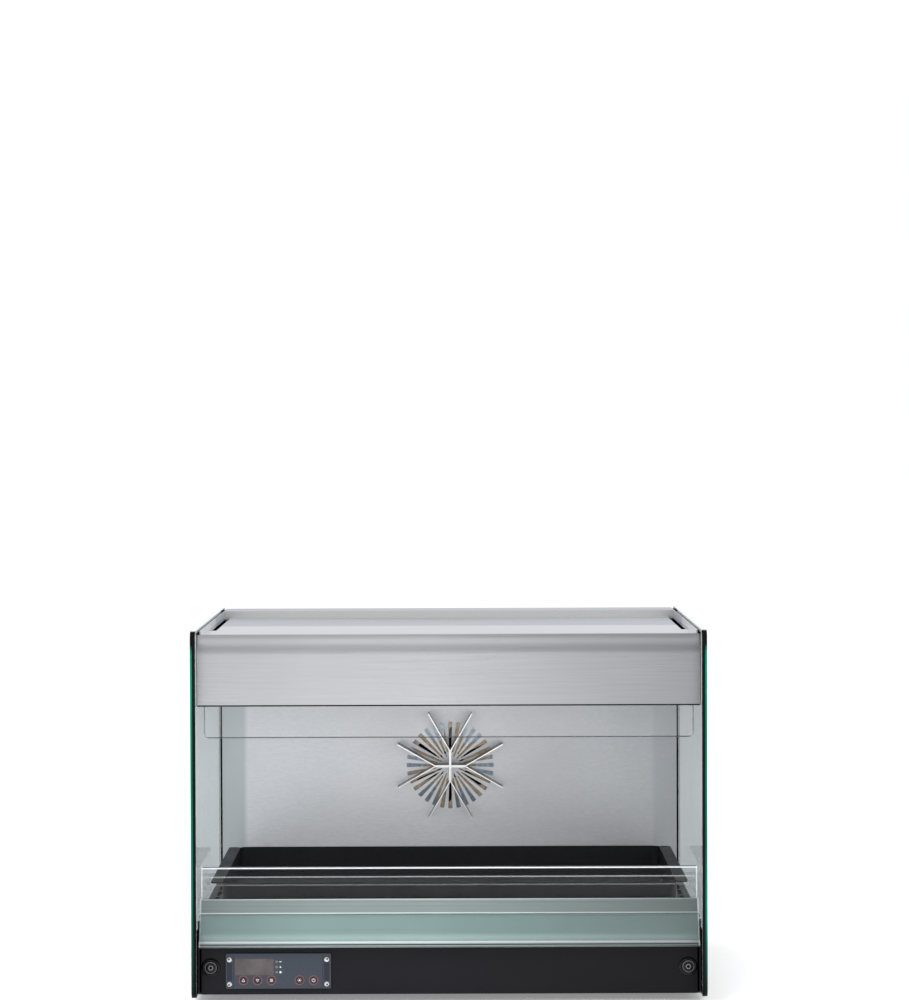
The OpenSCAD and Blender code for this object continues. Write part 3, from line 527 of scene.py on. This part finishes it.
# Painted highlights on the head rim and round the hexagon recess of the screws in the cup washers
RIM_HIGHLIGHT = coated("rim_grey", (0.11, 0.11, 0.118), 0.3, PRINT_GRAIN, 0.03)
HEX_HIGHLIGHT = coated("hex_grey", (0.3, 0.3, 0.31), 0.4, PRINT_GRAIN, 0.03)
SCREW_BRASS = coated("screw_recess", (0.16, 0.11, 0.07), 0.4, 2400, 0.05)
# Painted shadow: black for the shade behind the impeller's windows and inside screw recesses
PAINTED_SHADOW = coated("impeller_shadow", (0.002, 0.002, 0.002), 0.7, 1200, 0.05, gloss=0.05)

SLOTS = {sub["node"]: sub["material_slot"] for sub in frame["record"]["subparts"]}


def paint(obj, material):
    obj.data.materials.clear()
    obj.data.materials.append(material)


def soften(obj, width):
    """Rounds the sharp edges of a piece a little, so that they catch the light."""
    bevel = obj.modifiers.new("edge", "BEVEL")
    bevel.width = width
    bevel.segments = 2
    bevel.limit_method = "ANGLE"
    bevel.angle_limit = math.radians(35)
    bevel.harden_normals = True


for node_name, node in NODES.items():
    paint(node, NODE_MATERIALS.get(node_name, MATERIALS[SLOTS[node_name]]))


# Detail pieces -------------------------------------------------------------------------

HEX_SIDES = 6
FULL_TURN = 359.9       # degrees: just short of closing, so that a whole ring stays one loop


def thicken(mesh, outline, push):
    """Adds a plate to the mesh: the face through the points, and its copy moved by push."""
    face = mesh.faces.new([mesh.verts.new(point) for point in outline])
    pushed = bmesh.ops.extrude_face_region(mesh, geom=[face])["geom"]
    verts = [v for v in pushed if isinstance(v, bmesh.types.BMVert)]
    bmesh.ops.translate(mesh, verts=verts, vec=push)


def outline_piece(name, loops, y_front, y_back, material, body, bevel=0.0):
    """A flat piece seen from the front: closed (x, z) loops, extruded from y_back to y_front."""
    mesh = bmesh.new()
    for loop in loops:
        thicken(mesh, [(x, y_back, z) for x, z in loop], (0, y_front - y_back, 0))
    bmesh.ops.recalc_face_normals(mesh, faces=mesh.faces)
    return place(name, mesh, material, body, bevel)


def place(name, mesh, material, body, bevel=0.0):
    """Puts a finished mesh in the scene, on its body and with its slot."""
    data = bpy.data.meshes.new(name)
    mesh.to_mesh(data)
    mesh.free()
    obj = bpy.data.objects.new(name, data)
    bpy.context.scene.collection.objects.link(obj)
    paint(obj, material)
    if bevel:
        soften(obj, bevel)
    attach(obj, body)
    return obj


def ring_arc(cx, cz, outer, inner, start, end, steps=28):
    """A band of a circle from start to end degrees, as one closed loop."""
    angles = [math.radians(start + (end - start) * i / steps) for i in range(steps + 1)]
    out = [(cx + outer * math.cos(a), cz + outer * math.sin(a)) for a in angles]
    back = [(cx + inner * math.cos(a), cz + inner * math.sin(a)) for a in reversed(angles)]
    return out + back


def bar(cx, cz, width, height, turn=0.0):
    """A small bar about (cx, cz), turned by an angle in degrees."""
    c, s = math.cos(math.radians(turn)), math.sin(math.radians(turn))
    corners = [(-1, -1), (1, -1), (1, 1), (-1, 1)]
    points = [(x * width / 2, z * height / 2) for x, z in corners]
    return [(cx + x * c - z * s, cz + x * s + z * c) for x, z in points]


def rounded(x0, x1, z0, z1, r, steps=5):
    """A rectangle with rounded corners."""
    corners = ((x1 - r, z0 + r, -90), (x1 - r, z1 - r, 0), (x0 + r, z1 - r, 90), (x0 + r, z0 + r, 180))
    loop = []
    for cx, cz, start in corners:
        for i in range(steps + 1):
            a = math.radians(start + 90 * i / steps)
            loop.append((cx + r * math.cos(a), cz + r * math.sin(a)))
    return loop


def disc(cx, cz, r, steps=24):
    """A circle, or with few steps a polygon."""
    return [(cx + r * math.cos(2 * math.pi * i / steps), cz + r * math.sin(2 * math.pi * i / steps))
            for i in range(steps)]


def chevron(cx, cz, size, up):
    """A hollow triangle made of three bars."""
    tips = [(cx + size * math.cos(math.radians(a)), cz + up * size * math.sin(math.radians(a)))
            for a in (90, 210, 330)]
    loops = []
    for (x0, z0), (x1, z1) in zip(tips, tips[1:] + tips[:1]):
        length = math.hypot(x1 - x0, z1 - z0) + 0.35 * MM
        turn = math.degrees(math.atan2(z1 - z0, x1 - x0))
        loops.append(bar((x0 + x1) / 2, (z0 + z1) / 2, length, 0.5 * MM, turn))
    return loops


def key_symbols():
    """Plain symbols on the keys: up, down, three bars, a lamp and a power mark."""
    def lamp(cx, cz):
        reach = 1.9 * MM
        rays = [bar(cx + reach * math.cos(math.radians(a)), cz + reach * math.sin(math.radians(a)),
                    0.8 * MM, 0.4 * MM, a) for a in range(0, 360, 60)]
        return [disc(cx, cz, 0.95 * MM), *rays]

    def power(cx, cz):
        return [ring_arc(cx, cz, 2.1 * MM, 1.6 * MM, 120, 420), bar(cx, cz + 1.4 * MM, 0.5 * MM, 1.8 * MM)]

    def bars(cx, cz):
        return [bar(cx, cz + step * MM, 3.4 * MM, 0.55 * MM) for step in (-1.3, 0, 1.3)]

    symbols = {
        "up": lambda x, z: chevron(x, z - 0.3 * MM, 2.0 * MM, 1),
        "down": lambda x, z: chevron(x, z + 0.3 * MM, 2.0 * MM, -1),
        "set": bars, "light": lamp, "power": power,
    }
    for key, symbol in symbols.items():
        lo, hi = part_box("button_" + key)
        loops = symbol((lo.x + hi.x) / 2, (lo.z + hi.z) / 2)
        outline_piece("symbol_" + key, loops, lo.y - 0.06 * MM, lo.y + 0.05 * MM,
                      PRINT_WHITE, "key_" + key)


def panel_details():
    """The panel's end strips and the seams beside them, and small marks beside the lamps."""
    lo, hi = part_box("panel_plate")
    lamps_lo, lamps_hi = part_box("indicator_leds")
    lamp_height = 3 * MM
    mark_x = lamps_hi.x + 2.9 * MM
    mid = (lamps_lo.z + lamps_hi.z) / 2
    step = (lamps_hi.z - lamps_lo.z - lamp_height) / 2
    foot = mid - 0.9 * MM
    y = lo.y
    marks = [bar(mark_x, mid + step, 2.6 * MM, 0.8 * MM),
             [(mark_x - 1.1 * MM, foot), (mark_x + 1.1 * MM, foot), (mark_x, mid + 1.4 * MM)],
             disc(mark_x, mid - step, 1.25 * MM)]
    outline_piece("lamp_marks", marks, y - 0.08 * MM, y + 0.05 * MM, PRINT_WHITE, "case")
    strips = (("left", lo.x + 1.2 * MM, lo.x + 7.2 * MM), ("right", hi.x - 7.9 * MM, hi.x - 1.9 * MM))
    for side, x0, x1 in strips:
        strip = rounded(x0, x1, lo.z + 9.5 * MM, hi.z - 10.6 * MM, 0.8 * MM)
        outline_piece("panel_strip_" + side, [strip], y - 0.25 * MM, y + 0.1 * MM,
                      STRIP_GREY, "case", 0.1 * MM)
    for side, x in (("left", lo.x + 8.9 * MM), ("right", hi.x - 9.6 * MM)):
        line = bar(x, (lo.z + hi.z) / 2, 0.35 * MM, hi.z - lo.z - 1.6 * MM)
        outline_piece("panel_seam_" + side, [line], y - 0.12 * MM, y + 0.1 * MM,
                      MATERIALS["channel_black"], "case")


def glass_print():
    """Black band on the inner face of each side panel, where it covers the hood, rear and base."""
    hood_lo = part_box("hood_front")[0]
    film = 0.08 * MM
    for side, inward in (("left", 1), ("right", -1)):
        lo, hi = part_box("glass_" + side)
        inner = hi.x if side == "left" else lo.x
        top, bottom, rear = hi.z - 4 * MM, lo.z + 3 * MM, hi.y - 3 * MM
        front, deck = lo.y + 4 * MM, WALL_LO.z - 12 * MM
        outline = [(hood_lo.y, top), (rear, top), (rear, bottom), (front, bottom), (front, deck),
                   (WALL_HI.y, deck), (WALL_HI.y, hood_lo.z), (hood_lo.y, hood_lo.z)]
        mesh = bmesh.new()
        thicken(mesh, [(inner, y, z) for y, z in outline], (inward * film, 0, 0))
        bmesh.ops.recalc_face_normals(mesh, faces=mesh.faces)
        place("glass_print_" + side, mesh, PRINT_BLACK, "case")


def wall_joints():
    """Black joints where the back wall meets the side panels."""
    lo, hi = WALL_LO, WALL_HI
    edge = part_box("back_panel_gaskets")[1].x
    for side, sign in (("left", -1), ("right", 1)):
        x0, x1 = sorted((sign * (edge - 2.1 * MM), sign * edge))
        z0, z1 = lo.z + 1 * MM, hi.z - 1 * MM
        outline_piece("wall_joint_" + side, [[(x0, z0), (x1, z0), (x1, z1), (x0, z1)]],
                      lo.y - 0.5 * MM, lo.y + 0.1 * MM, PRINT_BLACK, "case")


def impeller_window_shadows():
    """Painted shadow: a dark sheet behind each window of the impeller, where shade falls."""
    shaft_lo, shaft_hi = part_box("fan_shaft")
    cx, cz = (shaft_lo.x + shaft_hi.x) / 2, (shaft_lo.z + shaft_hi.z) / 2
    near, far, below, above = 13, 55, -9, 9.6       # mm along the window's line, and across it
    first = 24                                      # degrees of the first window
    loops = []
    for turn in range(first, first + 360, 60):
        c, t = math.cos(math.radians(turn)), math.sin(math.radians(turn))
        corners = [(near, below), (far, below), (far, above), (near, above)]
        loops.append([(cx + (u * c - v * t) * MM, cz + (u * t + v * c) * MM) for u, v in corners])
    outline_piece("impeller_window_shadows", loops, FAN_LO.y + 1.5 * MM, FAN_LO.y + 1.9 * MM,
                  PAINTED_SHADOW, "fan")


def cup_screw_marks():
    """Painted highlights on the rim of each screw's head and round its hexagon recess, and painted shade
    inside the recess, for each screw in a cup washer.
    """
    lo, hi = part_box("fascia_screws")
    head = (hi.z - lo.z) / 2
    hexagon = 2.2 * MM      # recess, from its middle to a corner
    y, z = lo.y, lo.z + head
    for side, x in (("left", lo.x + head), ("right", hi.x - head)):
        rim = ring_arc(x, z, 2.9 * MM, hexagon, 0, FULL_TURN, HEX_SIDES)
        outline_piece("hex_rim_" + side, [rim], y - 0.04 * MM, y + 0.3 * MM,
                      HEX_HIGHLIGHT, "case")
        head_highlight = ring_arc(x, z, 6.9 * MM, 6.1 * MM, 0, FULL_TURN, 36)
        outline_piece("head_rim_" + side, [head_highlight], y + 0.3 * MM, y + 2.5 * MM,
                      RIM_HIGHLIGHT, "case")
        outline_piece("hex_pit_" + side, [disc(x, z, hexagon, HEX_SIDES)], y - 0.02 * MM, y + 0.3 * MM,
                      PAINTED_SHADOW, "case")


def panel_recesses():
    """Drive recess in the middle of each panel screw, with painted shade in its middle."""
    lo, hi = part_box("panel_screws")
    head = 2.6 * MM
    y = lo.y
    middles = [(x, z) for x in (lo.x + head, hi.x - head) for z in (lo.z + head, hi.z - head)]
    for number, (x, z) in enumerate(middles):
        outline_piece(f"screw_recess_{number}", [disc(x, z, 1.25 * MM)], y - 0.05 * MM, y + 0.3 * MM,
                      SCREW_BRASS, "case")
        # Painted shade in the middle of the recess
        outline_piece(f"screw_centre_{number}", [disc(x, z - 0.2 * MM, 0.55 * MM)],
                      y - 0.1 * MM, y + 0.2 * MM, PAINTED_SHADOW, "case")


key_symbols()
impeller_window_shadows()
cup_screw_marks()
panel_recesses()
panel_details()
glass_print()
wall_joints()

# Width of the rounded edge of each CAD piece that shows one, in mm
EDGE_WIDTHS = {
    "glass_left": 1.2, "glass_right": 1.2, "clear_riser": 1.3, "valance": 0.9, "ticket_rail": 0.25,
    "hood_front": 0.35, "back_panel_gaskets": 0.2, "base_fascia": 0.35, "panel_plate": 0.3,
    "food_tray": 0.4, "button_up": 0.3, "button_down": 0.3, "button_set": 0.3, "button_light": 0.3,
    "button_power": 0.3, "fascia_cup_washers": 0.2, "fascia_screws": 0.2, "riser_channel": 0.3, "feet": 0.8,
}
for name, width in EDGE_WIDTHS.items():
    soften(NODES[name], width * MM)


# Camera, lights and floor ------------------------------------------------------------------

def make_camera():
    data = bpy.data.cameras.new("camera")
    data.lens = LENS
    data.clip_end = 50
    camera = bpy.data.objects.new("camera", data)
    bpy.context.scene.collection.objects.link(camera)
    camera.location = (CAMERA_X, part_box("glass_left")[0].y - CAMERA_AWAY, CAMERA_HEIGHT)
    camera.rotation_euler = (math.radians(90 - PITCH), math.radians(ROLL), 0)
    bpy.context.scene.camera = camera


def area_light(name, place_at, aim, size, power):
    """A soft light that lights surfaces and does not show in their reflections."""
    data = bpy.data.lights.new(name, "AREA")
    data.shape = "RECTANGLE"
    data.size, data.size_y = size
    data.energy = power
    light = bpy.data.objects.new(name, data)
    bpy.context.scene.collection.objects.link(light)
    light.location = place_at
    light.visible_glossy = False
    light.rotation_euler = (Vector(aim) - Vector(place_at)).to_track_quat("-Z", "Y").to_euler()


def make_world():
    """Soft white studio: a plain white for the camera, and gentle bands by height for reflections."""
    world = bpy.data.worlds.new("studio")
    bpy.context.scene.world = world
    world.use_nodes = True
    tree = world.node_tree
    tree.nodes.clear()
    coordinates = tree.nodes.new("ShaderNodeTexCoord")
    split = tree.nodes.new("ShaderNodeSeparateXYZ")
    ramp = tree.nodes.new("ShaderNodeValToRGB")
    # Height of the direction, from level and below (0) to straight up (1), and brightness there
    stops = ((0.0, 0.8), (0.08, 0.86), (0.2, 0.74), (0.55, 0.74), (0.75, 1.05), (0.93, 1.0), (1.0, 0.55))
    while len(ramp.color_ramp.elements) < len(stops):
        ramp.color_ramp.elements.new(0.5)
    for element, (position, level) in zip(ramp.color_ramp.elements, stops):
        element.position = position
        element.color = (level, level, level * 1.01, 1)
    path = tree.nodes.new("ShaderNodeLightPath")
    banded = tree.nodes.new("ShaderNodeBackground")
    plain = tree.nodes.new("ShaderNodeBackground")
    plain.inputs["Color"].default_value = (1, 1, 1, 1)
    mix = tree.nodes.new("ShaderNodeMixShader")
    output = tree.nodes.new("ShaderNodeOutputWorld")
    for a, b in ((coordinates.outputs["Generated"], split.inputs[0]), (split.outputs["Z"], ramp.inputs[0]),
                 (ramp.outputs[0], banded.inputs["Color"]), (path.outputs["Is Camera Ray"], mix.inputs[0]),
                 (banded.outputs[0], mix.inputs[1]), (plain.outputs[0], mix.inputs[2]),
                 (mix.outputs[0], output.inputs[0])):
        tree.links.new(a, b)


def make_floor():
    mesh = bmesh.new()
    bmesh.ops.create_grid(mesh, x_segments=1, y_segments=1, size=40)
    data = bpy.data.meshes.new("floor")
    mesh.to_mesh(data)
    mesh.free()
    floor = bpy.data.objects.new("floor", data)
    bpy.context.scene.collection.objects.link(floor)
    s = Shader("floor_paint")
    s.finish(s.principled((0.92, 0.92, 0.92), 0.7, Emission_Color=(1.0, 1.0, 1.0), Emission_Strength=0.25))
    paint(floor, s.material)


make_camera()
make_world()
make_floor()
# Name, place, the point it aims at, and size in metres, and power in watts
area_light("key", (-1.6, -2.6, 2.6), (0, 0, 0.2), (2.4, 1.6), 60)
area_light("fill", (2.2, -3.0, 1.6), (0, 0, 0.2), (2.0, 1.6), 30)
area_light("rear", (0.0, 2.6, 2.4), (0, 0, 0.3), (2.6, 1.2), 25)
lens_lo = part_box("led_lens")[0]
area_light("cavity", (0, lens_lo.y, lens_lo.z - 3 * MM), (0, WALL_LO.y, 0.1), (0.5, 0.02), 1.2)
bpy.context.scene.view_settings.view_transform = "Standard"
